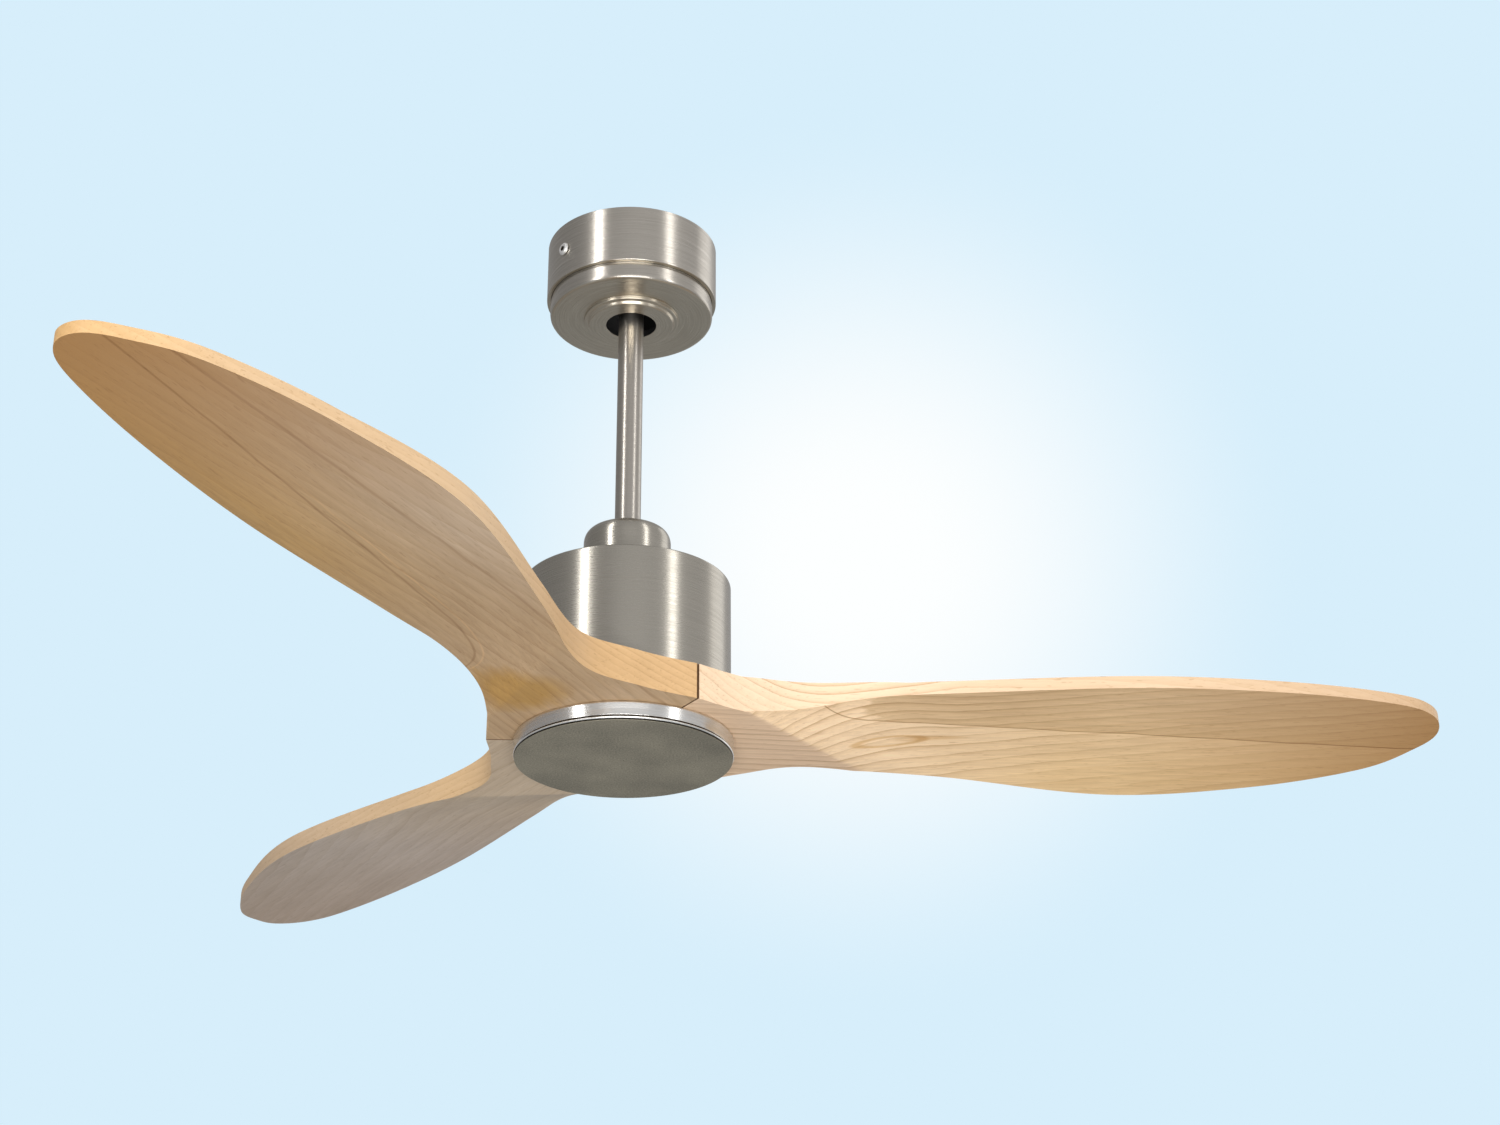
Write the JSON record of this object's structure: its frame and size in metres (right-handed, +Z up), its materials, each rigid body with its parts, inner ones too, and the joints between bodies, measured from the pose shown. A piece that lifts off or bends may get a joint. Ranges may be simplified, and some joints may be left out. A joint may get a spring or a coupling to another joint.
{
  "type": "ceiling fan",
  "caption": "Ceiling fan with carved wooden propeller blades on a short down rod, in brushed nickel, with a round canopy and a flat bottom cover.",
  "frame": {"origin": "centre of the hanger bracket's flat top face, on the down rod's axis, where the fan meets the ceiling", "axes": "+Z up towards the ceiling along the rod, so the fan hangs below z = 0; the first blade points 4 degrees from +X towards +Y"},
  "size_m": [1.0471, 1.1439, 0.47],
  "materials": {
    "black_steel": "black coated pressed steel",
    "zinc_steel": "zinc plated pressed steel",
    "nickel": "brushed satin nickel, grain running round the axis",
    "polished_nickel": "polished nickel",
    "satin_plate": "fine sand-blasted dark satin nickel",
    "white_plastic": "moulded white plastic",
    "lead_jacket": "flexible black jacket",
    "black_plastic": "moulded black nylon",
    "rubber": "matt black rubber-faced ball",
    "steel": "plain machined steel",
    "laminations": "stacked electrical steel",
    "copper": "enamelled copper wire",
    "magnet": "dark ferrite",
    "cast_aluminium": "die-cast aluminium",
    "wood": "light carved wood under thin satin lacquer"
  },
  "bodies": {
    "ceiling_mount": {"hanger_bracket": "black_steel", "canopy": "nickel", "canopy_screw_1": "polished_nickel", "canopy_screw_2": "polished_nickel", "controller_box": "white_plastic", "terminal_block": "white_plastic", "ground_screw": "steel", "supply_lead": "lead_jacket", "controller_lead": "lead_jacket"},
    "ball_liner": {"ball_seat_liner": "black_plastic"},
    "hanging_unit": {"hanger_ball": "rubber", "ball_pin": "steel", "downrod": "nickel", "motor_lead": "lead_jacket", "rod_coupling": "zinc_steel", "coupling_bolt": "steel", "coupling_clip": "steel", "coupling_set_screw_1": "steel", "coupling_set_screw_2": "steel", "coupling_cover": "nickel", "motor_housing": "nickel", "housing_screw_1": "steel", "housing_screw_2": "steel", "housing_screw_3": "steel", "motor_shaft": "steel", "shaft_nut": "steel", "stator_core": "laminations", "stator_winding": "copper", "bearing_inner_ring_upper": "steel", "bearing_inner_ring_lower": "steel"},
    "rotor": {"rotor_bell": "cast_aluminium", "rotor_cover": "cast_aluminium", "rotor_screw_1": "steel", "rotor_screw_2": "steel", "rotor_screw_3": "steel", "magnet_ring": "magnet", "bearing_outer_ring_upper": "steel", "bearing_outer_ring_lower": "steel", "bearing_balls_upper": "steel", "bearing_balls_lower": "steel", "blade_1": "wood", "blade_2": "wood", "blade_3": "wood", "blade_plate": "zinc_steel", "blade_screw_1": "steel", "blade_screw_2": "steel", "blade_screw_3": "steel", "blade_screw_4": "steel", "blade_screw_5": "steel", "blade_screw_6": "steel", "cover_ring": "nickel", "cover_screw_1": "steel", "cover_screw_2": "steel", "cover_screw_3": "steel", "cover_lip": "polished_nickel", "cover_plate": "satin_plate"}
  },
  "joints": [
    {"name": "swing_x", "type": "hinge", "parent": "ceiling_mount", "child": "ball_liner", "pos_m": [0, 0, -0.038], "axis": [1, 0, 0], "range_deg": [-9, 9]},
    {"name": "swing_y", "type": "hinge", "parent": "ball_liner", "child": "hanging_unit", "pos_m": [0, 0, -0.038], "axis": [0, 1, 0], "range_deg": [-9, 9]},
    {"name": "rotor_spin", "type": "hinge", "parent": "hanging_unit", "child": "rotor", "pos_m": [0, 0, -0.4], "axis": [0, 0, 1], "continuous": true}
  ]
}
